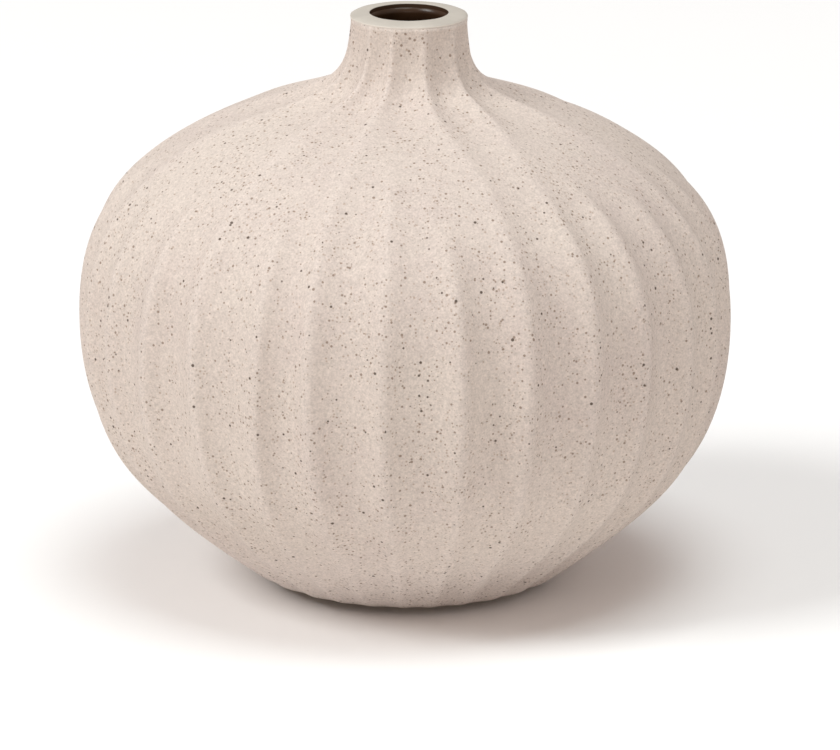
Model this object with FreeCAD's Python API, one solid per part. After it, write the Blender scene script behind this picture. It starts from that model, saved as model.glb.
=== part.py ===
"""Stoneware pottery vase: a squat fluted belly, a short narrow neck and a small turned foot.

Units are millimetres. +Z is up, the origin is the middle of the face the vase stands on, and
-Y is the front. Azimuths are measured from the front, positive towards +X.
"""
import FreeCAD, Part
import math
import os

# ---- overall sizes -------------------------------------------------------------------------
OVERALL_HEIGHT = 133.5      # standing face to the top of the lip
BELLY_DIAMETER = 150.0      # over the crests of the ridges
NECK_HEIGHT = 19.0          # top of the shoulder to the top of the lip
LIP_DIAMETER = 27.0         # outside of the neck at its top
BORE_DIAMETER = 18.0        # finished throat, glaze included
FOOT_DIAMETER = 54.0        # outside of the turned foot ring

# ---- thicknesses ---------------------------------------------------------------------------
CLAY_WALL = 5.0
CLAY_FLOOR = 6.0
SLIP_THICKNESS = 0.4        # pale speckled coat on the outside
GLAZE_THICKNESS = 0.5       # brown glaze on the inside
LIP_BAND_HEIGHT = 1.1       # smooth wiped band that caps the rim

# ---- foot ----------------------------------------------------------------------------------
FOOT_HEIGHT = 1.6
FOOT_WIDTH = 6.0
FOOT_CHAMFER = 0.5
BELLY_OVERHANG = 4.0        # how far the belly's lower edge stands out past the foot ring

# ---- neck ----------------------------------------------------------------------------------
NECK_TAPER = 1.9            # the neck's root radius is larger than its lip radius by this
ROOT_FILLET = 6.5           # shoulder to neck
THROAT_FILLET = 4.0         # inside, under the shoulder to the throat

# ---- hand-cut flutes -----------------------------------------------------------------------
RIDGE_COUNT = 30
BELLY_FLUTE_DEPTH = 1.8
EDGE_FLUTE_DEPTH = 1.5      # measured level, at the belly's lower edge
NECK_FLUTE_DEPTH = 0.7
ROOT_FLUTE_DEPTH = 1.5      # where the neck meets the shoulder the ridges stand out like webs
FIRST_RIDGE = -2.8          # azimuth of ridge 0 on the belly, degrees
RIDGE_WANDER = 1.3          # the cutter spaced the back slightly closer than the front, degrees
CLIMBING_RIDGES = (2, 3, 6, 9, 11, 14, 17, 19, 22, 24, 27, 29)
FIRST_NECK_RIDGE = 15.0     # azimuth of the first climbing ridge on the neck, degrees
FADE_START = 0.86           # the other ridges start to die out at this share of shoulder height
FADE_END = 0.97

# ---- outline of the belly over the ridge crests --------------------------------------------
BELT_SHARE = 0.548          # height of the widest belt as a share of the shoulder's height
# Points as shares of the way out to the belt's radius and up between the two heights.
LOWER_OUTLINE = ((0.159, 0.062), (0.414, 0.190), (0.589, 0.300), (0.809, 0.481), (0.957, 0.733))
UPPER_OUTLINE = ((0.943, 0.357), (0.755, 0.631), (0.390, 0.874), (0.181, 0.965), (0.077, 0.992))

# ---- resolution of the fluted surfaces -----------------------------------------------------
COLUMNS_PER_RIDGE = 6
BELLY_ROWS = 24
NECK_ROWS = 6
FILLET_STEPS = 3

# ---- derived sizes -------------------------------------------------------------------------
BELLY_RADIUS = BELLY_DIAMETER / 2
LIP_RADIUS = LIP_DIAMETER / 2
ROOT_RADIUS = LIP_RADIUS + NECK_TAPER
BORE_RADIUS = BORE_DIAMETER / 2
CLAY_BORE_RADIUS = BORE_RADIUS + GLAZE_THICKNESS
FOOT_RADIUS = FOOT_DIAMETER / 2
SHOULDER_HEIGHT = OVERALL_HEIGHT - NECK_HEIGHT
JOINT_HEIGHT = SHOULDER_HEIGHT + ROOT_FILLET
CLAY_TOP = OVERALL_HEIGHT - LIP_BAND_HEIGHT
LOWER_EDGE_RADIUS = FOOT_RADIUS + BELLY_OVERHANG
BELT_HEIGHT = BELT_SHARE * SHOULDER_HEIGHT
FILLET_RADIUS = ROOT_RADIUS + ROOT_FILLET
COLUMNS = RIDGE_COUNT * COLUMNS_PER_RIDGE

UP = FreeCAD.Vector(0, 0, 1)
ORIGIN = FreeCAD.Vector(0, 0, 0)


def at(radius, height):
    """Point of a turned profile, drawn in the XZ plane."""
    return FreeCAD.Vector(radius, 0, height)


def smooth_step(low, high, value):
    """0 below low, 1 above high and an S curve between them."""
    share = min(max((value - low) / (high - low), 0.0), 1.0)
    return share * share * (3 - 2 * share)


def spline_through(points, start=None, end=None):
    """Smooth curve through the points, with optional end tangents."""
    curve = Part.BSplineCurve()
    if start is None and end is None:
        curve.interpolate(points)
    else:
        curve.interpolate(Points=points, InitialTangent=start, FinalTangent=end)
    return curve


# ---- outlines ------------------------------------------------------------------------------
def belly_profile():
    """Crest outline of the belly, from its lower edge up to where the neck is joined on."""
    drawn = [at(LOWER_EDGE_RADIUS, FOOT_HEIGHT)]
    for out, up in LOWER_OUTLINE:
        drawn.append(at(LOWER_EDGE_RADIUS + out * (BELLY_RADIUS - LOWER_EDGE_RADIUS),
                        FOOT_HEIGHT + up * (BELT_HEIGHT - FOOT_HEIGHT)))
    drawn.append(at(BELLY_RADIUS, BELT_HEIGHT))
    for out, up in UPPER_OUTLINE:
        drawn.append(at(FILLET_RADIUS + out * (BELLY_RADIUS - FILLET_RADIUS),
                        BELT_HEIGHT + up * (SHOULDER_HEIGHT - BELT_HEIGHT)))
    points = spline_through(drawn).discretize(Number=BELLY_ROWS)
    for step in range(FILLET_STEPS + 1):
        turn = math.pi / 2 * step / FILLET_STEPS
        points.append(at(FILLET_RADIUS - ROOT_FILLET * math.sin(turn),
                         JOINT_HEIGHT - ROOT_FILLET * math.cos(turn)))
    slope = points[1] - points[0]
    return spline_through(points, slope, UP)


def neck_profile():
    """Crest outline of the neck, from the joint up to the wiped lip."""
    points = []
    for row in range(NECK_ROWS):
        share = row / (NECK_ROWS - 1)
        points.append(at(LIP_RADIUS + NECK_TAPER * (1 - share) ** 1.5,
                         JOINT_HEIGHT + (CLAY_TOP - JOINT_HEIGHT) * share))
    return spline_through(points, UP, points[-1] - points[-2])


def inner_profile(depth, throat_radius):
    """Inside outline at a depth below the crests: floor centre, up the wall and into the throat."""
    outside = belly_profile()
    floor = FOOT_HEIGHT + CLAY_FLOOR + depth - CLAY_WALL - SLIP_THICKNESS
    ceiling = SHOULDER_HEIGHT - depth
    points = [at(0, floor), at(LOWER_EDGE_RADIUS / 2, floor)]
    for crest in outside.discretize(Number=BELLY_ROWS):
        tangent = outside.tangent(outside.parameter(crest))[0]
        inward = at(-tangent.z, tangent.x)
        point = crest + inward * depth
        clear_of_floor = point.z > floor + CLAY_WALL and point.x > LOWER_EDGE_RADIUS / 2
        clear_of_throat = point.x > throat_radius + 2 * THROAT_FILLET
        if clear_of_floor and clear_of_throat:
            points.append(point)
    for step in range(FILLET_STEPS + 1):
        turn = math.pi / 2 * step / FILLET_STEPS
        points.append(at(throat_radius + THROAT_FILLET * (1 - math.sin(turn)),
                         ceiling + THROAT_FILLET * (1 - math.cos(turn))))
    return spline_through(points, at(1, 0), UP)


# ---- flutes --------------------------------------------------------------------------------
def scoop(share):
    """Depth of a rounded flute, 0 at its two crests and 1 midway."""
    across = 2 * share - 1
    return 1 - across * across


def flute_depth(position, step):
    """Share of full depth at a position counted in flutes; a crest stands proud by half the
    next column's depth, so that the smooth surface itself just touches the crest outline."""
    share = position - math.floor(position + 1e-9)
    if share < step / 2:
        return -scoop(step) / 2
    return scoop(share)


def neck_position(ridge):
    """Where a belly ridge number falls on the neck, counted in neck flutes."""
    count = len(CLIMBING_RIDGES)
    for index, low in enumerate(CLIMBING_RIDGES):
        high = CLIMBING_RIDGES[(index + 1) % count]
        gap = (high - low) % RIDGE_COUNT
        past = (ridge - low) % RIDGE_COUNT
        if past < gap:
            return index + past / gap, gap
    raise ValueError("ridge lies in no gap")


def column_azimuths(ridge):
    """Azimuth of a column on the belly and on the neck, in radians."""
    pitch = 2 * math.pi / RIDGE_COUNT
    belly = ridge * pitch
    belly += math.radians(FIRST_RIDGE) + math.radians(RIDGE_WANDER) * math.sin(ridge * pitch)
    neck_pitch = 2 * math.pi / len(CLIMBING_RIDGES)
    neck = math.radians(FIRST_NECK_RIDGE) + neck_position(ridge)[0] * neck_pitch
    turn = (neck - belly + math.pi) % (2 * math.pi) - math.pi
    return belly, belly + turn


def neck_flute_depth(crest):
    """Full depth of the neck's wide flutes beside a point of the crest outline."""
    if crest.z > JOINT_HEIGHT:
        up = (crest.z - JOINT_HEIGHT) / (CLAY_TOP - JOINT_HEIGHT)
        root = 1 - smooth_step(0.1, 0.5, up)
        open_share = 1 - smooth_step(0.6, 1.0, up)
    else:
        root = 1 - smooth_step(FILLET_RADIUS, BELLY_RADIUS / 2 + FILLET_RADIUS / 4, crest.x)
        open_share = 1.0
    return (NECK_FLUTE_DEPTH + (ROOT_FLUTE_DEPTH - NECK_FLUTE_DEPTH) * root) * open_share


def fluted_faces(profile, is_neck, inset):
    """Faces, one to a flute, all round a crest outline and set in from it by an even amount."""
    rows = profile.getPoles()
    last = len(rows) - 1
    grid = []
    for column in range(COLUMNS):
        ridge = column / COLUMNS_PER_RIDGE
        step = 1 / COLUMNS_PER_RIDGE
        belly_share = flute_depth(ridge, step)
        on_neck, gap = neck_position(ridge)
        neck_share = flute_depth(on_neck, step / gap)
        belly_azimuth, neck_azimuth = column_azimuths(ridge)
        poles = []
        for row, crest in enumerate(rows):
            below = rows[max(row - 1, 0)]
            above = rows[min(row + 1, last)]
            tangent = (above - below).normalize()
            outward = at(tangent.z, -tangent.x)
            share_up = crest.z / SHOULDER_HEIGHT
            neck_depth = neck_flute_depth(crest) * neck_share
            if is_neck:
                outward = at(1, 0)
                depth = neck_depth
                climb = 1.0
            else:
                if row == 0 or row >= last - 2:
                    outward = at(1, 0)
                fade = smooth_step(FADE_START, FADE_END, share_up)
                full = BELLY_FLUTE_DEPTH
                if row == 0:
                    full = EDGE_FLUTE_DEPTH
                depth = full * belly_share * (1 - fade) + neck_depth * fade
                climb = 1 - smooth_step(ROOT_RADIUS, BELLY_RADIUS * 0.7, crest.x)
                if share_up < 0.5:
                    climb = 0.0
            azimuth = belly_azimuth + (neck_azimuth - belly_azimuth) * climb
            point = crest - outward * (depth + inset)
            poles.append(FreeCAD.Vector(point.x * math.sin(azimuth),
                                        -point.x * math.cos(azimuth), point.z))
        grid.append(poles)
    surface = Part.BSplineSurface()
    knots = list(range(COLUMNS + 1))
    surface.buildFromPolesMultsKnots(
        grid, [1] * len(knots), profile.getMultiplicities(), knots, profile.getKnots(),
        True, False, 3, profile.Degree)
    faces = []
    for ridge in range(RIDGE_COUNT):
        flute = surface.copy()
        flute.segment(ridge * COLUMNS_PER_RIDGE, (ridge + 1) * COLUMNS_PER_RIDGE,
                      profile.FirstParameter, profile.LastParameter)
        faces.append(flute.toShape())
    return faces


# ---- solids --------------------------------------------------------------------------------
def rim_wire(faces, height):
    """The closed wire along which fluted faces end level at a height."""
    edges = []
    for face in faces:
        for edge in face.Edges:
            box = edge.BoundBox
            if box.ZLength < 1e-4 and abs(box.ZMin - height) < 1e-3:
                edges.append(edge)
    return Part.Wire(Part.__sortEdges__(edges))


def circle_wire(radius, height):
    """Level circle about the vase's axis."""
    return Part.Wire(Part.Circle(at(0, height), UP, radius).toShape())


def flat_ring(outer, inner=None):
    """Level face inside a closed wire, with an optional hole."""
    wires = [outer]
    if inner is not None:
        wires.append(inner)
    return Part.makeFace(wires, "Part::FaceMakerBullseye")


def turned(edges):
    """Faces swept by profile edges going once round the axis."""
    return [edge.revolve(ORIGIN, UP, 360) for edge in edges]


def closed_solid(faces):
    """One solid from faces that meet edge to edge."""
    shell = Part.Shell(faces)
    shell.sewShape()
    solid = Part.makeSolid(Part.Shell(shell.Faces))
    if solid.Volume < 0:
        solid.reverse()
    return solid


def line(start, end):
    """Straight profile edge."""
    return Part.LineSegment(start, end).toShape()


def belly_wall():
    """Thrown and fluted clay belly, open at the throat."""
    outside = fluted_faces(belly_profile(), False, SLIP_THICKNESS)
    inside = inner_profile(CLAY_WALL + SLIP_THICKNESS, CLAY_BORE_RADIUS)
    throat_root = inside.getPoles()[-1]
    faces = outside + [flat_ring(rim_wire(outside, FOOT_HEIGHT))]
    faces.append(flat_ring(rim_wire(outside, JOINT_HEIGHT),
                           circle_wire(CLAY_BORE_RADIUS, JOINT_HEIGHT)))
    faces += turned([inside.toShape(),
                     line(throat_root, at(CLAY_BORE_RADIUS, JOINT_HEIGHT))])
    return closed_solid(faces)


def neck_collar():
    """Short fluted clay neck, luted on to the belly's throat."""
    outside = fluted_faces(neck_profile(), True, SLIP_THICKNESS)
    faces = list(outside)
    for height in (JOINT_HEIGHT, CLAY_TOP):
        faces.append(flat_ring(rim_wire(outside, height), circle_wire(CLAY_BORE_RADIUS, height)))
    faces += turned([line(at(CLAY_BORE_RADIUS, JOINT_HEIGHT), at(CLAY_BORE_RADIUS, CLAY_TOP))])
    return closed_solid(faces)


def slip_coat():
    """Even coat of pale slip over the outside of belly and neck."""
    faces = []
    skins = {}
    for inset in (0.0, SLIP_THICKNESS):
        skins[inset] = (fluted_faces(belly_profile(), False, inset),
                        fluted_faces(neck_profile(), True, inset))
        faces += skins[inset][0] + skins[inset][1]
    outer_belly, outer_neck = skins[0.0]
    inner_belly, inner_neck = skins[SLIP_THICKNESS]
    faces.append(flat_ring(rim_wire(outer_belly, FOOT_HEIGHT), rim_wire(inner_belly, FOOT_HEIGHT)))
    faces.append(flat_ring(rim_wire(outer_neck, CLAY_TOP), rim_wire(inner_neck, CLAY_TOP)))
    return closed_solid(faces)


def glaze_lining():
    """Brown glaze that covers the whole inside and makes it hold water."""
    against_clay = inner_profile(CLAY_WALL + SLIP_THICKNESS, CLAY_BORE_RADIUS)
    wetted = inner_profile(CLAY_WALL + SLIP_THICKNESS + GLAZE_THICKNESS, BORE_RADIUS)
    edges = []
    for outline, radius in ((against_clay, CLAY_BORE_RADIUS), (wetted, BORE_RADIUS)):
        edges.append(outline.toShape())
        edges.append(line(outline.getPoles()[-1], at(radius, CLAY_TOP)))
    faces = turned(edges)
    faces.append(flat_ring(circle_wire(CLAY_BORE_RADIUS, CLAY_TOP),
                           circle_wire(BORE_RADIUS, CLAY_TOP)))
    return closed_solid(faces)


def lip_band():
    """Smooth wiped band that caps the rim, rounded over to the outside."""
    width = LIP_RADIUS - BORE_RADIUS
    crown = at(BORE_RADIUS + width * 0.45, OVERALL_HEIGHT)
    inner_edge = at(BORE_RADIUS, OVERALL_HEIGHT - LIP_BAND_HEIGHT * 0.35)
    outer_edge = at(LIP_RADIUS, OVERALL_HEIGHT - LIP_BAND_HEIGHT * 0.7)
    top = Part.BSplineCurve()
    top.interpolate([inner_edge, crown, outer_edge])
    edges = [line(at(BORE_RADIUS, CLAY_TOP), inner_edge), top.toShape(),
             line(outer_edge, at(LIP_RADIUS, CLAY_TOP)),
             line(at(LIP_RADIUS, CLAY_TOP), at(BORE_RADIUS, CLAY_TOP))]
    return Part.Face(Part.Wire(edges)).revolve(ORIGIN, UP, 360)


def foot_ring():
    """Turned foot ring of bare clay, with both standing edges chamfered."""
    inner = FOOT_RADIUS - FOOT_WIDTH
    corners = [
        at(inner, FOOT_HEIGHT), at(inner, FOOT_CHAMFER), at(inner + FOOT_CHAMFER, 0),
        at(FOOT_RADIUS - FOOT_CHAMFER, 0), at(FOOT_RADIUS, FOOT_CHAMFER),
        at(FOOT_RADIUS, FOOT_HEIGHT)]
    section = Part.makePolygon(corners + corners[:1])
    return Part.Face(section).revolve(ORIGIN, UP, 360)


NODES = {
    "belly_wall": belly_wall,
    "neck_collar": neck_collar,
    "foot_ring": foot_ring,
    "slip_coat": slip_coat,
    "glaze_lining": glaze_lining,
    "lip_band": lip_band,
}

os.makedirs("parts", exist_ok=True)
for node, build in NODES.items():
    build().exportStep("parts/%s.step" % node)
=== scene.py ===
import bpy
import numpy as np
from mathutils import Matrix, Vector


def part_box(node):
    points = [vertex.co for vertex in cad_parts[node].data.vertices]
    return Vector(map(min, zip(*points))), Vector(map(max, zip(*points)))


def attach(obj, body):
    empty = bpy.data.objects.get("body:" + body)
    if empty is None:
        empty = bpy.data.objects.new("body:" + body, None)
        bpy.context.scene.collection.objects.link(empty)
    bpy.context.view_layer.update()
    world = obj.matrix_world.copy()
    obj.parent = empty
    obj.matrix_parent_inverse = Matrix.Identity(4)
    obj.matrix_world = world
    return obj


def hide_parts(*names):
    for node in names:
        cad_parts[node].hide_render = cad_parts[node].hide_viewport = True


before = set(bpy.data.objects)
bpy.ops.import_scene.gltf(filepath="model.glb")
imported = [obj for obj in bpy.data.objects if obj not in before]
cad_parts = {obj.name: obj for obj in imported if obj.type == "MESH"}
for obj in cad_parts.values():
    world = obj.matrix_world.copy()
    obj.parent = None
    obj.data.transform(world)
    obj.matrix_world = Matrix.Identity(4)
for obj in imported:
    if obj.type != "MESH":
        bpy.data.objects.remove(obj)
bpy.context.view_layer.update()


# ---- Belly -------------------------------------------------------------------------------------
# A squat belly of stoneware clay, thrown on the wheel with a stub of throat left standing. While
# it was leather hard a loop tool cut thirty upright flutes by hand, so no two are quite alike.

MM = 0.001
TURN = 2 * np.pi
slip_low, slip_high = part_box("slip_coat")
EDGE_HEIGHT = slip_low.z / MM              # the coat's lower edge, just above the foot
RIM_HEIGHT = slip_high.z / MM              # the coat's upper edge, under the wiped lip
JOINT_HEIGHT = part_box("neck_collar")[0].z / MM
SLIP_THICKNESS = 0.4
CLAY_WALL = 5.0
CLAY_FLOOR = 6.0
BORE = 9.0                                 # radius of the open throat
GLAZE_THICKNESS = 0.5
CLAY_BORE = BORE + GLAZE_THICKNESS         # radius of the clay behind the glaze
BELT_HEIGHT = 62                           # the widest place; the shoulder is above it
NECK_ROOT_HEIGHT = 112.5                   # where the shoulder starts to sweep up into the neck

RIDGES = 30
FIRST_RIDGE = -2.7                         # degrees from the front, towards +X
SPACING_DRIFT = 1.3                        # degrees; the hand crowds the ridges on one side
SPACING_SLIP = 0.5                         # degrees; and misses a little at each
RIDGE_AZIMUTHS = {29: -16.3, 0: -3.2, 1: 9.2, 2: 21.3, 3: 34.6}      # those set one by one
CLIMBERS = (2, 3, 6, 9, 11, 14, 17, 19, 22, 24, 27, 29)    # ridges that run on up the neck
CLIMBER_AZIMUTHS = {27: -41.5, 29: -16.5, 2: 15.0, 3: 47.5}          # degrees, on the neck
DIES_AT = {26: 49.0, 28: 52.0, 0: 38.0, 1: 56.0, 4: 47.0, 5: 54.0}   # radius where a ridge ends
BOTH_CLIMB_END = 46.0                      # the same radius between two ridges that both climb
RIDGE_FADE = (-2.0, 16.0)                  # outside that radius: where it is gone, and is whole
TURNING_IN = (15.5, 50.0)                  # radii between which ridges move to the neck's spacing
CREST_SHARPNESS = 0.82                     # share of a flute's half width before its crest rounds
SWAY = np.radians(0.7)                     # swing of a hand-cut flute from side to side
SWAY_LENGTH = 21                           # height of one radian of that swing
LUMP_DEPTH = 0.16                          # slow unevenness of the whole surface
LUMPS_FADE_FROM = 124.0                    # it dies out from this height up to the rim
LEVEL_AT_EDGE = 4                          # how far from each end the surface is drawn level
LEVEL_AT_RIM = 3

# Depth of the flutes at a few heights: the belly's, and the wide ones that run up the neck.
BELLY_DEPTHS = ((1.6, 0.6), (6, 0.95), (17, 1.2), (30, 1.6), (50, 3.1), (72, 2.9), (86, 2.2),
                (97, 1.4), (104, 0.8), (110, 0.6))
NECK_DEPTHS = ((105, 0.5), (111, 0.8), (115, 1.4), (118, 1.7), (121, 1.4), (124, 1.15), (128, 0.9),
               (131, 0.35), (132.4, 0.1))
# How far the belly stands out of true towards -X at a few heights: the shoulder most of all.
OUT_OF_TRUE = ((1.6, 0.0), (20, 0.4), (40, 0.7), (62, 0.8), (85, 0.9), (96, 1.2), (104, 1.5),
               (110, 1.45), (115, 0.95), (119, 0.35), (124, 0.05), (132.4, 0.0))

# Outline over the crests: radius and height.
BELLY_OUTLINE = (
    (32.2, 1.6), (35.4, 2.9), (39.2, 5.4), (49.2, 13.2), (56.9, 19.9), (66.6, 31.0), (73.1, 46.4),
    (75.0, 62.7), (72.3, 81.2), (68.4, 88.9), (62.4, 95.7), (54.1, 102.0), (42.7, 108.3),
    (31.5, 112.4), (25.5, 114.4),
)
NECK_OUTLINE = (
    (21.2, 116.1), (17.6, 118.2), (15.5, 121.0), (14.4, 124.2), (13.8, 128.0), (13.5, 131.0),
    (13.45, 132.4),
)


def smooth_step(low, high, value):
    """0 below low, 1 above high and 3 s^2 - 2 s^3 between them."""
    share = np.clip((value - low) / (high - low), 0, 1)
    return share * share * (3 - 2 * share)


def smooth_line(points, count):
    """Evenly spaced points of the natural cubic spline through the given points.

    With h the chord lengths, the second derivatives m solve
    h0 m0 + 2 (h0 + h1) m1 + h1 m2 = 6 (slope1 - slope0) at each inner point and are 0 at the ends.
    """
    points = np.array(points, float)
    chord = np.hypot(*np.diff(points, axis=0).T)
    along = np.concatenate([[0], np.cumsum(chord)])
    size = len(points)
    system = np.eye(size)
    right = np.zeros((size, points.shape[1]))
    inner = np.arange(1, size - 1)
    system[inner, inner - 1] = chord[:-1]
    system[inner, inner] = 2 * (chord[:-1] + chord[1:])
    system[inner, inner + 1] = chord[1:]
    slope = np.diff(points, axis=0) / chord[:, None]
    right[inner] = 6 * np.diff(slope, axis=0)
    bend = np.linalg.solve(system, right)

    def at(distance):
        span = np.clip(np.searchsorted(along, distance, side="right") - 1, 0, size - 2)
        h = chord[span][:, None]
        before = (along[span + 1] - distance)[:, None]
        after = (distance - along[span])[:, None]
        return ((bend[span] * before ** 3 + bend[span + 1] * after ** 3) / (6 * h)
                + (points[span] / h - bend[span] * h / 6) * before
                + (points[span + 1] / h - bend[span + 1] * h / 6) * after)

    fine = at(np.linspace(0, along[-1], 4000))
    length = np.concatenate([[0], np.cumsum(np.hypot(*np.diff(fine, axis=0).T))])
    even = np.linspace(0, length[-1], count)
    return np.stack([np.interp(even, length, fine[:, 0]), np.interp(even, length, fine[:, 1])], 1)


def outward(line):
    """Unit normals of an outline of radius and height, to the right of its direction of travel."""
    along = np.gradient(line, axis=0)
    along /= np.hypot(along[:, 0], along[:, 1])[:, None]
    return np.stack([along[:, 1], -along[:, 0]], 1)


def wobble(azimuth, height, seed, waves):
    """Sum of a few slow waves round and up the pot, about -1 to 1, that repeats after one turn."""
    rng = np.random.default_rng(seed)
    total = 0
    for _ in range(waves):
        total = total + np.sin(rng.integers(1, 9) * azimuth + rng.uniform(0.02, 0.09) * height
                               + rng.uniform(0, TURN))
    return total / waves


def flute_section(share):
    """Depth across one flute, 0 at its crests and 1 along its floor.

    With u from -1 to 1 across the flute and a the crest sharpness, the height is u^2 out to a and
    a - (1 - |u|)^2 a / (1 - a) beyond it, so the crest is rounded where two flutes meet.
    """
    u = np.abs(2 * share - 1)
    a = CREST_SHARPNESS
    height = np.where(u < a, u ** 2, a - (1 - u) ** 2 * a / (1 - a))
    return 1 - height / a


ridge_rng = np.random.default_rng(11)
RIDGE_AZIMUTH = np.radians(FIRST_RIDGE + 360 / RIDGES * np.arange(RIDGES + 1)
                           + SPACING_DRIFT * np.sin(TURN * np.arange(RIDGES + 1) / RIDGES))
RIDGE_AZIMUTH[:RIDGES] += np.radians(ridge_rng.uniform(-SPACING_SLIP, SPACING_SLIP, RIDGES))
for ridge, azimuth in RIDGE_AZIMUTHS.items():
    RIDGE_AZIMUTH[ridge] = np.radians(azimuth) + (TURN if ridge > RIDGES / 2 else 0)
RIDGE_AZIMUTH[RIDGES] = RIDGE_AZIMUTH[0] + TURN
RIDGE_END = ridge_rng.uniform(50, 62, RIDGES)
for ridge, radius in DIES_AT.items():
    RIDGE_END[ridge] = radius
FLUTE_SCALE = ridge_rng.uniform(0.82, 1.15, RIDGES)
LEAN_PHASE = ridge_rng.uniform(0, TURN, RIDGES)


def neck_azimuths():
    """Azimuth of each climbing ridge on the neck: the set ones, and even steps between them."""
    azimuth = {c: np.radians(a) for c, a in CLIMBER_AZIMUTHS.items()}
    order = [c for c in CLIMBERS if c not in CLIMBER_AZIMUTHS]
    first, last = azimuth[3], azimuth[27] + TURN
    for step, climber in enumerate(order, 1):
        azimuth[climber] = first + (last - first) * step / (len(order) + 1)
    azimuth[27] += TURN
    azimuth[29] += TURN
    return np.array([azimuth[c] for c in CLIMBERS])


CLIMBER_NECK = neck_azimuths()
COLUMNS_PER_RIDGE = 12
# Ridge number of each column of points.
RIDGE_PLACE = np.arange(RIDGES * COLUMNS_PER_RIDGE) / COLUMNS_PER_RIDGE


def fluted_surface(outline, inset):
    """Points of the hand-fluted surface, rows up the outline and columns round the pot.

    Each column belongs to a ridge number that need not be whole. Its azimuth slides from the
    belly's spacing to the neck's as the outline runs in over the shoulder, and its point is the
    crest outline moved inwards by depth times the flute section. The section is the belly's, with
    a crest at every ridge, blended into the neck's, with a crest at the climbing ridges only.
    Both ends are cut level: there the point moves straight in. Last, each row shifts sideways by
    OUT_OF_TRUE. Returns the points and how close each one is to a crest.
    """
    radius, height = outline[:, :1], outline[:, 1:]
    normal = outward(outline)
    first = np.floor(RIDGE_PLACE).astype(int)
    share = RIDGE_PLACE - first
    belly_azimuth = RIDGE_AZIMUTH[first] + (RIDGE_AZIMUTH[first + 1] - RIDGE_AZIMUTH[first]) * share

    starts = np.array(CLIMBERS + (CLIMBERS[0] + RIDGES,), float)
    place = np.where(RIDGE_PLACE < CLIMBERS[0], RIDGE_PLACE + RIDGES, RIDGE_PLACE)
    gap = np.clip(np.searchsorted(starts, place, side="right") - 1, 0, len(CLIMBERS) - 1)
    neck_share = (place - starts[gap]) / (starts[gap + 1] - starts[gap])
    ends = np.append(CLIMBER_NECK, CLIMBER_NECK[0] + TURN)
    neck_azimuth = ends[gap] + (ends[gap + 1] - ends[gap]) * neck_share
    turn = (neck_azimuth - belly_azimuth + np.pi) % TURN - np.pi

    on_shoulder = height > BELT_HEIGHT
    climb = np.where(on_shoulder, 1 - smooth_step(*TURNING_IN, radius), 0)
    phase = LEAN_PHASE[first] * (1 - share) + LEAN_PHASE[(first + 1) % RIDGES] * share
    sway = SWAY * np.sin(height / SWAY_LENGTH + phase)
    azimuth = belly_azimuth + turn * climb + sway * (1 - climb)

    climbing = np.isin(np.arange(RIDGES), CLIMBERS)
    left, right = RIDGE_END[first % RIDGES], RIDGE_END[(first + 1) % RIDGES]
    left_climbs, right_climbs = climbing[first % RIDGES], climbing[(first + 1) % RIDGES]
    left, right = np.where(left_climbs, right, left), np.where(right_climbs, left, right)
    left = np.where(left_climbs & right_climbs, BOTH_CLIMB_END, left)
    right = np.where(left_climbs & right_climbs, BOTH_CLIMB_END, right)
    end = left + (right - left) * smooth_step(0.0, 1.0, share)
    whole = np.where(on_shoulder, smooth_step(*RIDGE_FADE, radius - end), 1)

    neck_depth = np.interp(height, *zip(*NECK_DEPTHS))
    belly_depth = np.interp(height, *zip(*BELLY_DEPTHS)) * FLUTE_SCALE[first]
    belly_section, neck_section = flute_section(share), flute_section(neck_share)
    depth = whole * belly_depth * belly_section + (1 - whole) * neck_depth * neck_section
    crest = whole * (1 - belly_section) + (1 - whole) * (1 - neck_section)

    lumps = LUMP_DEPTH * wobble(azimuth, height, 3, 9)
    lumps = lumps * (1 - smooth_step(LUMPS_FADE_FROM, RIM_HEIGHT, height))
    depth = depth + inset + np.abs(lumps)
    level = 1 - smooth_step(EDGE_HEIGHT, EDGE_HEIGHT + LEVEL_AT_EDGE, height) * (
        1 - smooth_step(RIM_HEIGHT - LEVEL_AT_RIM, RIM_HEIGHT, height))
    r = radius - depth * (normal[:, :1] + (1 - normal[:, :1]) * level)
    z = height - depth * normal[:, 1:] * (1 - level)
    out_of_true = np.interp(height, *smooth_line(OUT_OF_TRUE, 400).T)
    points = np.stack([r * np.sin(azimuth) - out_of_true, -r * np.cos(azimuth), z], -1)
    return points, crest


def turned_surface(outline, columns):
    """Points of a surface of revolution: an outline of radius and height carried round the axis."""
    azimuth = np.arange(columns) * TURN / columns
    r, z = outline[:, :1], outline[:, 1:]
    return np.stack([r * np.sin(azimuth), -r * np.cos(azimuth), z + 0 * azimuth], -1)


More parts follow.
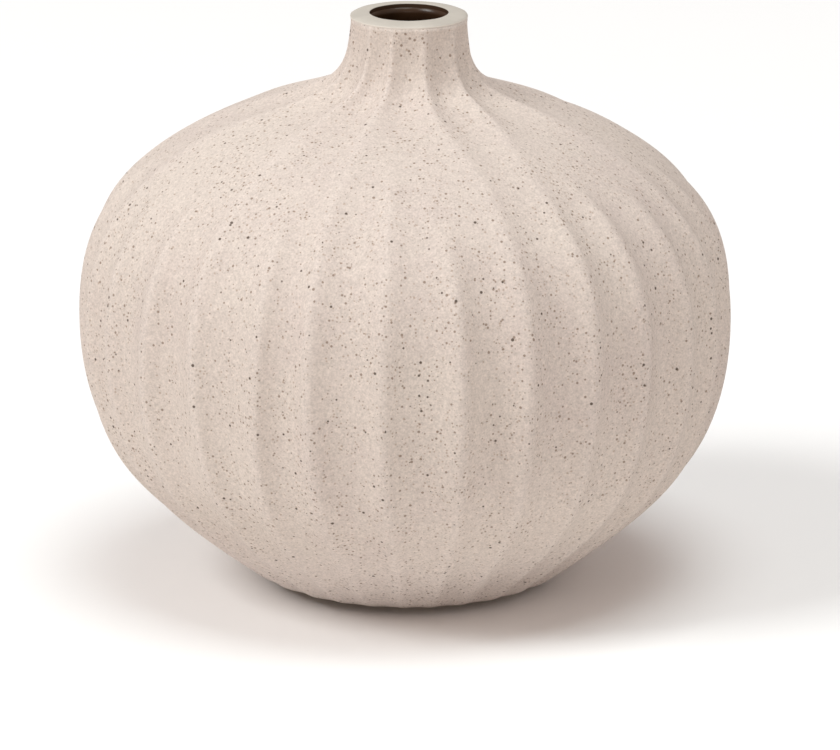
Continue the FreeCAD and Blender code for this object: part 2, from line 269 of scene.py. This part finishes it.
def ring_piece(name, points, closed, values=None):
    """Mesh object from a grid of points in mm that closes round the pot.

    The rows either run on into the first row again (closed) or each end is drawn to a point on
    the axis. Faces wind so that they point away from the solid when rows run up its outside.
    """
    rows, columns = points.shape[:2]
    across = np.arange(columns)
    beside = (across + 1) % columns
    lower = np.arange(rows if closed else rows - 1)
    upper = (lower + 1) % rows
    quads = np.stack([
        lower[:, None] * columns + across, lower[:, None] * columns + beside,
        upper[:, None] * columns + beside, upper[:, None] * columns + across], -1).reshape(-1, 4)
    vertices = points.reshape(-1, 3)
    faces = quads.tolist()
    if not closed:
        ends = points[[0, -1]].mean(1)
        ends[:, :2] = 0
        vertices = np.concatenate([vertices, ends])
        tip = rows * columns
        faces += np.stack([beside, across, np.full(columns, tip)], 1).tolist()
        top = (rows - 1) * columns
        faces += np.stack([top + across, top + beside, np.full(columns, tip + 1)], 1).tolist()
    mesh = bpy.data.meshes.new(name)
    mesh.from_pydata((vertices * MM).tolist(), [], faces)
    mesh.polygons.foreach_set("use_smooth", np.ones(len(mesh.polygons), bool))
    for label, value in (values or {}).items():
        attribute = mesh.attributes.new(label, "FLOAT", "POINT")
        attribute.data.foreach_set("value", value.astype(np.float32).ravel())
    piece = bpy.data.objects.new(name, mesh)
    bpy.context.scene.collection.objects.link(piece)
    return piece


crest_line = smooth_line(BELLY_OUTLINE + NECK_OUTLINE, 577)
belly_line = crest_line[crest_line[:, 1] <= JOINT_HEIGHT]
neck_line = crest_line[crest_line[:, 1] > JOINT_HEIGHT]
neck_line = np.concatenate([belly_line[-1:], neck_line])


def below_crests(depth, throat):
    """Smooth inside outline, from near the floor's middle up the wall and into the throat."""
    wall = crest_line - outward(crest_line) * depth
    floor = EDGE_HEIGHT + CLAY_FLOOR + depth - CLAY_WALL - SLIP_THICKNESS
    below_root = crest_line[:, 1] < NECK_ROOT_HEIGHT
    keep = (wall[:, 1] > floor + 4) & (wall[:, 0] > 22) & below_root
    wall = wall[keep][::24]
    ceiling = wall[-1, 1] + 0.6
    rise = ((throat + 5.5, ceiling), (throat + 1.6, ceiling + 1.4), (throat, ceiling + 5.0),
            (throat, RIM_HEIGHT - 6.0), (throat, RIM_HEIGHT))
    return smooth_line(((1.0, floor), (14.0, floor + 0.2)) + tuple(map(tuple, wall)) + rise, 150)


clay_inside = below_crests(CLAY_WALL + SLIP_THICKNESS, CLAY_BORE)
belly_outside, _ = fluted_surface(np.concatenate([belly_line[:-2:5], belly_line[-1:]]),
                                  SLIP_THICKNESS)
belly_inside = turned_surface(clay_inside[clay_inside[:, 1] < JOINT_HEIGHT][::-1], len(RIDGE_PLACE))
belly = ring_piece("belly_clay", np.concatenate([belly_outside, belly_inside]), False)


def node(tree, kind, inputs=None, **settings):
    """Adds a shader node, sets its options and fills or links its inputs by name or number."""
    made = tree.nodes.new(kind)
    for key, value in settings.items():
        setattr(made, key, value)
    for key, value in (inputs or {}).items():
        if isinstance(value, bpy.types.NodeSocket):
            tree.links.new(value, made.inputs[key])
        else:
            made.inputs[key].default_value = value
    return made


def maths(tree, operation, first, second=0.0, third=0.0, clamp=False):
    """One Math node; returns its output."""
    return node(tree, "ShaderNodeMath", {0: first, 1: second, 2: third},
                operation=operation, use_clamp=clamp).outputs[0]


def mixed(tree, share, first, second, blend="MIX"):
    """Mix node for two colours; returns its output."""
    return node(tree, "ShaderNodeMix", {0: share, 6: first, 7: second},
                data_type="RGBA", blend_type=blend).outputs[2]


def ramped(tree, value, low, high):
    """Value mapped from low..high to 0..1 along an S curve; returns its output."""
    return node(tree, "ShaderNodeMapRange", {0: value, 1: low, 2: high, 3: 0.0, 4: 1.0},
                interpolation_type="SMOOTHSTEP").outputs[0]


def new_group(name, inputs, outputs):
    """Empty shader node group with named float inputs and named outputs; returns its ends."""
    tree = bpy.data.node_groups.new(name, "ShaderNodeTree")
    tree.interface.new_socket("Where", in_out="INPUT", socket_type="NodeSocketVector")
    for label, value in inputs.items():
        socket = tree.interface.new_socket(label, in_out="INPUT", socket_type="NodeSocketFloat")
        socket.default_value = value
    for label in outputs:
        tree.interface.new_socket(label, in_out="OUTPUT", socket_type="NodeSocketFloat")
    return tree, tree.nodes.new("NodeGroupInput"), tree.nodes.new("NodeGroupOutput")


def speck_group():
    """Round specks of grog: 1 inside a speck and 0 outside.

    Space is split into cells about one spacing wide, each with one point. A random share of the
    cells, more in some places than in others, holds a speck about its point, whose radius is
    Largest (0.4 + 0.6 q^2) for a random q.
    """
    tree, ends, out = new_group("grog_specks", {"Spacing": 1.0, "Share": 0.5, "Largest": 0.3,
                                                "Soft": 0.1}, ["Speck"])
    scale = maths(tree, "DIVIDE", 1 / MM, ends.outputs["Spacing"])
    cells = node(tree, "ShaderNodeTexVoronoi", {"Vector": ends.outputs["Where"], "Scale": scale},
                 voronoi_dimensions="3D", feature="F1")
    random = node(tree, "ShaderNodeSeparateColor", {0: cells.outputs["Color"]})
    patches = node(tree, "ShaderNodeTexNoise", {"Vector": ends.outputs["Where"], "Scale": 70.0,
                                                "Detail": 2.0})
    plenty = maths(tree, "MULTIPLY_ADD", ramped(tree, patches.outputs["Fac"], 0.32, 0.68), 0.9, 0.5)
    share = maths(tree, "MULTIPLY", plenty, ends.outputs["Share"])
    present = maths(tree, "LESS_THAN", random.outputs[0], share)
    size = maths(tree, "MULTIPLY_ADD", maths(tree, "POWER", random.outputs[1], 2.0), 0.6, 0.4)
    radius = maths(tree, "MULTIPLY", size, ends.outputs["Largest"])
    away = maths(tree, "MULTIPLY", cells.outputs["Distance"], ends.outputs["Spacing"])
    inside = maths(tree, "DIVIDE", maths(tree, "SUBTRACT", radius, away), ends.outputs["Soft"],
                   clamp=True)
    tree.links.new(maths(tree, "MULTIPLY", inside, present), out.inputs["Speck"])
    return tree


def grain_group():
    """Sandy grain: the sum of a coarse and a fine noise, centred on 0."""
    tree, ends, out = new_group("sandy_grain", {"Coarse": 1.0, "Fine": 1.0}, ["Grain"])
    parts = []
    for label, scale in (("Coarse", 900.0), ("Fine", 2200.0)):
        noise = node(tree, "ShaderNodeTexNoise", {"Vector": ends.outputs["Where"], "Scale": scale,
                                                  "Detail": 2.0})
        centred = maths(tree, "SUBTRACT", noise.outputs["Fac"], 0.5)
        parts.append(maths(tree, "MULTIPLY", centred, ends.outputs[label]))
    tree.links.new(maths(tree, "ADD", *parts), out.inputs["Grain"])
    return tree


SPECKS = speck_group()
GRAIN = grain_group()


def new_material(name, **values):
    """Material with one Principled shader, its constants set; returns material, tree and shader."""
    material = bpy.data.materials.new(name)
    material.use_nodes = True
    tree = material.node_tree
    shader = tree.nodes["Principled BSDF"]
    for key, value in values.items():
        shader.inputs[key.replace("_", " ")].default_value = value
    return material, tree, shader


def object_place(tree):
    """Object coordinates of the point being shaded."""
    return node(tree, "ShaderNodeTexCoord").outputs["Object"]


def used(tree, group, inputs):
    """Places a shared group in a material with its own values; returns its outputs."""
    return node(tree, "ShaderNodeGroup", inputs, node_tree=group).outputs


def grained(tree, colour, grain, amount):
    """Colour times 1 + amount times the grain; returns its output."""
    shade = maths(tree, "MULTIPLY_ADD", grain, amount, 1.0)
    grey = node(tree, "ShaderNodeCombineColor", {0: shade, 1: shade, 2: shade}).outputs[0]
    return mixed(tree, 1.0, colour, grey, "MULTIPLY")


def add_bump(tree, shader, height, strength, distance):
    """Bumps the shader's normal by a height value."""
    bump = node(tree, "ShaderNodeBump", {"Height": height, "Strength": strength,
                                         "Distance": distance})
    tree.links.new(bump.outputs[0], shader.inputs["Normal"])


def bare_clay_material():
    """Fired bare stoneware: warm buff, darker in patches, with grog specks and a dry bump."""
    material, tree, shader = new_material("bare_stoneware", Roughness=0.86, Specular_IOR_Level=0.25)
    where = object_place(tree)
    slow = node(tree, "ShaderNodeTexNoise", {"Vector": where, "Scale": 60.0, "Detail": 3.0})
    grain = used(tree, GRAIN, {"Where": where, "Coarse": 1.0, "Fine": 0.8})
    body = mixed(tree, ramped(tree, slow.outputs["Fac"], 0.3, 0.7),
                 (0.44, 0.33, 0.235, 1), (0.56, 0.44, 0.33, 1))
    body = grained(tree, body, grain["Grain"], 0.5)
    dark = used(tree, SPECKS, {"Where": where, "Spacing": 1.6, "Share": 0.6, "Largest": 0.45,
                               "Soft": 0.12})
    body = mixed(tree, dark["Speck"], body, (0.10, 0.055, 0.03, 1))
    tree.links.new(body, shader.inputs["Base Color"])
    add_bump(tree, shader, grain["Grain"], 0.6, 0.25 * MM)
    return material


BARE_CLAY = bare_clay_material()
belly.data.materials.append(BARE_CLAY)
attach(belly, "root")
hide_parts("belly_wall")


# ---- Neck --------------------------------------------------------------------------------------
# A short tube of the same clay, luted with wet slip on to the stub of throat and fluted with it:
# the ridges that climb off the shoulder run on up its outside and fade out under the lip.

neck_outside, _ = fluted_surface(np.concatenate([neck_line[:-2:3], neck_line[-1:]]),
                                 SLIP_THICKNESS)
neck_inside = np.array([(CLAY_BORE, z) for z in np.linspace(RIM_HEIGHT, JOINT_HEIGHT, 8)])
neck = ring_piece("neck_clay", np.concatenate(
    [neck_outside, turned_surface(neck_inside, len(RIDGE_PLACE))]), True)
neck.data.materials.append(BARE_CLAY)
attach(neck, "root")
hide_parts("neck_collar")


# ---- Foot --------------------------------------------------------------------------------------
# A low ring turned from the bare clay under the belly and wiped clean, so that the pot stands
# level and the coat does not touch the shelf. Its edges are softened with a sponge.

foot_low, foot_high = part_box("foot_ring")
FOOT_RADIUS = foot_high.x / MM
FOOT_WIDTH = 6.0
FOOT_HEIGHT = foot_high.z / MM
FOOT_ROUNDING = 0.5                        # sponged edges that stand on the shelf
JOINT_ROUNDING = 0.05                      # edges against the belly


def soft_section(width, height, inner, steps):
    """Rounded rectangle of radius and height, from its inner bottom corner round by the outside."""
    low, high = FOOT_ROUNDING, JOINT_ROUNDING
    corners = ((inner + low, low, low, np.pi, 1.5 * np.pi),
               (inner + width - low, low, low, 1.5 * np.pi, 2 * np.pi),
               (inner + width - high, height - high, high, 0, np.pi / 2),
               (inner + high, height - high, high, np.pi / 2, np.pi))
    loop = []
    for r, z, size, start, stop in corners:
        angle = np.linspace(start, stop, steps)
        loop.append(np.stack([r + size * np.cos(angle), z + size * np.sin(angle)], 1))
    return np.concatenate(loop)


foot_section = soft_section(FOOT_WIDTH, FOOT_HEIGHT, FOOT_RADIUS - FOOT_WIDTH, 6)
foot = ring_piece("foot_ring_clay", turned_surface(foot_section, 240), True)
foot.data.materials.append(BARE_CLAY)
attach(foot, "root")
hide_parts("foot_ring")


# ---- Slip coat ---------------------------------------------------------------------------------
# Pale pinkish white slip poured over belly and neck. It dries and fires matte and sandy, follows
# every flute, and iron and grog from the clay bleed through it as fine brown and tan specks.

SLIP_PINK = (0.600, 0.505, 0.450, 1)
SLIP_CREAM = (0.625, 0.535, 0.470, 1)
# painted highlight: the colour laid along the flute crests
SLIP_CREST_HIGHLIGHT = (0.680, 0.582, 0.522, 1)
SLIP_BASE_LIGHT = (0.790, 0.698, 0.645, 1)      # painted light: lighter low on the belly, towards the foot
# Spacing, share of cells, largest radius and soft edge in mm, strength and colour.
SLIP_SPECKS = (
    (0.80, 0.75, 0.37, 0.16, 0.60, (0.36, 0.25, 0.18, 1)),
    (1.00, 0.60, 0.40, 0.14, 0.74, (0.20, 0.13, 0.085, 1)),
    (2.00, 0.50, 0.44, 0.14, 0.90, (0.07, 0.045, 0.03, 1)),
)
coat_outside, crest = fluted_surface(crest_line[::3], 0.0)
coat_inside, _ = fluted_surface(crest_line[::12], SLIP_THICKNESS)
near_crest = np.concatenate([crest, np.zeros(coat_inside.shape[:2])])
coat = ring_piece("slip_coat_skin", np.concatenate([coat_outside, coat_inside[::-1]]), True,
                  {"crest": near_crest})


def slip_material():
    """Speckled matte slip.

    The pale colour drifts between pinkish and cream over the pot and is broken up by sandy grain.
    It is painted lighter along the crests, a painted highlight, and painted lighter low on the
    belly towards the foot, painted light. Three sizes of speck lie over it: many faint tan ones,
    fewer brown ones and a few dark ones.
    """
    material, tree, shader = new_material("speckled_slip", Roughness=0.8, Specular_IOR_Level=0.3)
    where = object_place(tree)
    slow = node(tree, "ShaderNodeTexNoise", {"Vector": where, "Scale": 26.0, "Detail": 4.0})
    body = mixed(tree, ramped(tree, slow.outputs["Fac"], 0.32, 0.68), SLIP_PINK, SLIP_CREAM)
    mottle = node(tree, "ShaderNodeTexNoise", {"Vector": where, "Scale": 210.0, "Detail": 2.0})
    mottled = ramped(tree, mottle.outputs["Fac"], 0.35, 0.65)
    body = mixed(tree, maths(tree, "MULTIPLY", mottled, 0.5), body, SLIP_CREAM)
    crest = node(tree, "ShaderNodeAttribute", attribute_name="crest").outputs["Fac"]
    # painted highlight: lighter along the crests of the flutes
    crest_highlight = maths(tree, "POWER", crest, 5.0)
    body = mixed(tree, maths(tree, "MULTIPLY", crest_highlight, 0.3), body, SLIP_CREST_HIGHLIGHT)
    height = node(tree, "ShaderNodeSeparateXYZ", {0: where}).outputs["Z"]
    # painted light: the slip is made lighter low on the belly, from 28 mm down to the foot
    base_light = maths(tree, "SUBTRACT", 1.0, ramped(tree, height, 2 * MM, 28 * MM))
    body = mixed(tree, maths(tree, "MULTIPLY", base_light, 0.7), body, SLIP_BASE_LIGHT)
    grain = used(tree, GRAIN, {"Where": where, "Coarse": 0.30, "Fine": 0.58})
    body = grained(tree, body, grain["Grain"], 1.0)
    for spacing, share, largest, soft, strength, colour in SLIP_SPECKS:
        speck = used(tree, SPECKS, {"Where": where, "Spacing": spacing, "Share": share,
                                    "Largest": largest, "Soft": soft})
        body = mixed(tree, maths(tree, "MULTIPLY", speck["Speck"], strength), body, colour)
    tree.links.new(body, shader.inputs["Base Color"])
    add_bump(tree, shader, grain["Grain"], 0.4, 0.2 * MM)
    return material


coat.data.materials.append(slip_material())
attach(coat, "root")
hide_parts("slip_coat")


# ---- Inside glaze ------------------------------------------------------------------------------
# Glossy iron-brown glaze poured in, swilled round and poured out, so it lies over the throwing
# rings and stops at the wiped lip. It makes the porous clay hold water.

GLAZE_BROWN = (0.060, 0.027, 0.012, 1)  # the glaze's own red-brown, shown near the rim and up the lip's bore
RING_SPACING = 5.5                         # throwing rings that show through the glaze
RING_DEPTH = 0.12
glaze_inside = below_crests(CLAY_WALL + SLIP_THICKNESS + GLAZE_THICKNESS, BORE)
rings = RING_DEPTH * np.sin(glaze_inside[:, 1] * TURN / RING_SPACING)
rings *= smooth_step(0, 8, glaze_inside[:, 1] - 10)            # none on the floor
rings *= 1 - smooth_step(104, 110, glaze_inside[:, 1])         # nor under the shoulder
glaze_inside = glaze_inside + outward(glaze_inside) * rings[:, None]
glaze_grid = np.concatenate([turned_surface(clay_inside, 160),
                             turned_surface(glaze_inside[::-1], 160)])
glaze = ring_piece("inside_glaze", glaze_grid, False)


def brown_glaze_material():
    """Iron-brown gloss: red-brown near the top, and further down painted near black as shade for
    the dark inside of the throat.
    """
    material, tree, shader = new_material("brown_glaze", Roughness=0.3,
                                          Specular_IOR_Level=0.3)
    where = object_place(tree)
    height = node(tree, "ShaderNodeSeparateXYZ", {0: where}).outputs["Z"]
    cloud = node(tree, "ShaderNodeTexNoise", {"Vector": where, "Scale": 180.0, "Detail": 4.0})
    top = ramped(tree, maths(tree, "MULTIPLY_ADD", cloud.outputs["Fac"], 3 * MM, height),
                 (RIM_HEIGHT - 3.5) * MM, (RIM_HEIGHT + 2.5) * MM)
    # painted shade: near black below the rim, where the inside of the throat lies in shade
    body = mixed(tree, ramped(tree, cloud.outputs["Fac"], 0.35, 0.65),
                 (0.007, 0.003, 0.0015, 1), (0.016, 0.007, 0.003, 1))
    body = mixed(tree, top, body, GLAZE_BROWN)
    tree.links.new(body, shader.inputs["Base Color"])
    return material


glaze.data.materials.append(brown_glaze_material())
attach(glaze, "root")
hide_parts("glaze_lining")


# ---- Lip ---------------------------------------------------------------------------------------
# The rim was wiped round with a damp sponge, which left a smooth satin band of greyer slip with
# hardly a speck in it, rounded over to the outside and a little proud of the coat below.

LIP_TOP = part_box("lip_band")[1].z / MM
LIP_UNEVENNESS = 0.06

# Section of the lip from its lower outside edge over the top to the bore: how far out, as a share
# of the way from the bore to the coat's face, and how far up, as a share of the lip's height.
LIP_SECTION = (
    (1.000, 0.02), (1.006, 0.12), (1.000, 0.24), (0.975, 0.38), (0.92, 0.54), (0.82, 0.71),
    (0.62, 0.88), (0.40, 0.975), (0.20, 1.00), (0.06, 0.985), (0.012, 0.95), (0.0, 0.90),
)
lip_curve = smooth_line(LIP_SECTION, 48)
lip_curve = np.concatenate([[(0.0, 0.0), (0.99, 0.0), (1.0, 0.0)], lip_curve,
                            [(0.0, 0.86), (0.0, 0.80), (0.0, 0.03)]])
rim = coat_outside[-1]
rim_radius = np.hypot(rim[:, 0], rim[:, 1])
rim_azimuth = np.arctan2(rim[:, 0], -rim[:, 1])
lip_radius = BORE + lip_curve[:, :1] * (rim_radius - BORE)
sag = LIP_UNEVENNESS * (wobble(rim_azimuth, 0, 21, 5) - 1)
lip_height = RIM_HEIGHT + lip_curve[:, 1:] * (LIP_TOP - RIM_HEIGHT + sag)
lip_grid = np.stack([lip_radius * np.sin(rim_azimuth), -lip_radius * np.cos(rim_azimuth),
                     lip_height], -1)
# painted highlight: mask of the lip's lower outside bead, which is painted lighter
lip_edge_highlight = np.exp(-((lip_curve[:, :1] - 1.005) / 0.02) ** 2) + 0 * rim_azimuth
in_bore = (lip_curve[:, :1] < 0.001) * (1 - smooth_step(0.80, 0.87, lip_curve[:, 1:]))
in_bore = in_bore + 0 * rim_azimuth
lip = ring_piece("lip_band_skin", lip_grid, True, {"edge": lip_edge_highlight, "bore": in_bore})


def lip_material():
    """Satin wiped slip, greyer than the coat, with a painted highlight: a lighter line along its
    lower outside bead.

    It has rare specks, and the brown glaze has run a little way up its bore.
    """
    material, tree, shader = new_material("wiped_lip", Roughness=0.5, Specular_IOR_Level=0.4)
    where = object_place(tree)
    slow = node(tree, "ShaderNodeTexNoise", {"Vector": where, "Scale": 150.0, "Detail": 3.0})
    body = mixed(tree, ramped(tree, slow.outputs["Fac"], 0.3, 0.7),
                 (0.490, 0.445, 0.385, 1), (0.545, 0.495, 0.430, 1))
    speck = used(tree, SPECKS, {"Where": where, "Spacing": 1.5, "Share": 0.35, "Largest": 0.28,
                                "Soft": 0.16})
    body = mixed(tree, maths(tree, "MULTIPLY", speck["Speck"], 0.3), body, (0.33, 0.24, 0.17, 1))
    # painted highlight: a lighter line along the lip's lower outside bead, where it turns up to the
    # light
    edge = node(tree, "ShaderNodeAttribute", attribute_name="edge").outputs["Fac"]
    body = mixed(tree, maths(tree, "MULTIPLY", edge, 0.7), body, (0.70, 0.62, 0.54, 1))
    glazed = node(tree, "ShaderNodeAttribute", attribute_name="bore").outputs["Fac"]
    body = mixed(tree, glazed, body, GLAZE_BROWN)
    tree.links.new(body, shader.inputs["Base Color"])
    add_bump(tree, shader, slow.outputs["Fac"], 0.2, 0.3 * MM)
    return material


lip.data.materials.append(lip_material())
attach(lip, "root")
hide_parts("lip_band")


# ---- Studio ------------------------------------------------------------------------------------
# A white seamless table under large soft lamps in a white room: a key high on the left, one
# overhead, and two weak ones, a warm one on the right and a low one in front. The camera stands
# well back with a long lens and looks down a little.

TABLE_REACH = 30
floor_mesh = bpy.data.meshes.new("table_top")
floor_corners = [(-TABLE_REACH, -TABLE_REACH, 0), (TABLE_REACH, -TABLE_REACH, 0),
                 (TABLE_REACH, TABLE_REACH, 0), (-TABLE_REACH, TABLE_REACH, 0)]
floor_mesh.from_pydata(floor_corners, [], [(0, 1, 2, 3)])
floor = bpy.data.objects.new("table_top", floor_mesh)
bpy.context.scene.collection.objects.link(floor)
floor_material, floor_tree, floor_shader = new_material("white_paper", Roughness=0.9,
                                                        Specular_IOR_Level=0.1)
floor_shader.inputs["Base Color"].default_value = (0.93, 0.915, 0.90, 1)
floor_mesh.materials.append(floor_material)


def soft_lamp(name, place, target, width, watts, colour):
    """Square area lamp aimed at a point."""
    light = bpy.data.lights.new(name, "AREA")
    light.size = width
    light.energy = watts
    light.color = colour
    lamp = bpy.data.objects.new(name, light)
    lamp.location = place
    lamp.rotation_mode = "QUATERNION"
    lamp.rotation_quaternion = (Vector(target) - Vector(place)).to_track_quat("-Z", "Y")
    bpy.context.scene.collection.objects.link(lamp)
    return lamp


# Place, what it is aimed at, width in metres, watts and colour.
soft_lamp("key_lamp", (-2.4, -1.2, 2.7), (0, 0, 0.05), 1.4, 78.0, (0.95, 0.99, 1.0))
soft_lamp("top_lamp", (0.4, -0.4, 3.4), (0, 0, 0.05), 1.8, 60.0, (0.90, 0.98, 1.0))
soft_lamp("right_lamp", (2.4, -1.8, 2.2), (0, 0, 0.05), 2.0, 5.0, (1.0, 0.94, 0.84))
soft_lamp("low_lamp", (0.0, -3.0, 0.35), (0, 0, 0.04), 1.6, 8.0, (1.0, 0.98, 0.95))
world = bpy.data.worlds.new("white_room")
world.use_nodes = True
world.node_tree.nodes["Background"].inputs["Color"].default_value = (1.0, 0.90, 0.88, 1)
world.node_tree.nodes["Background"].inputs["Strength"].default_value = 0.40
bpy.context.scene.world = world
bpy.context.scene.view_settings.view_transform = "Standard"

SIDE_STEP = 0.0025                         # the pot stands slightly left of the frame's middle
eye = Vector((SIDE_STEP, -1.5, 0.472))
aim = Vector((SIDE_STEP, 0.0, 0.0477))
camera_data = bpy.data.cameras.new("camera")
camera_data.lens = 289.7
camera_data.sensor_width = 36.0
camera = bpy.data.objects.new("camera", camera_data)
camera.location = eye
camera.rotation_mode = "QUATERNION"
camera.rotation_quaternion = (aim - eye).to_track_quat("-Z", "Y")
bpy.context.scene.collection.objects.link(camera)
bpy.context.scene.camera = camera
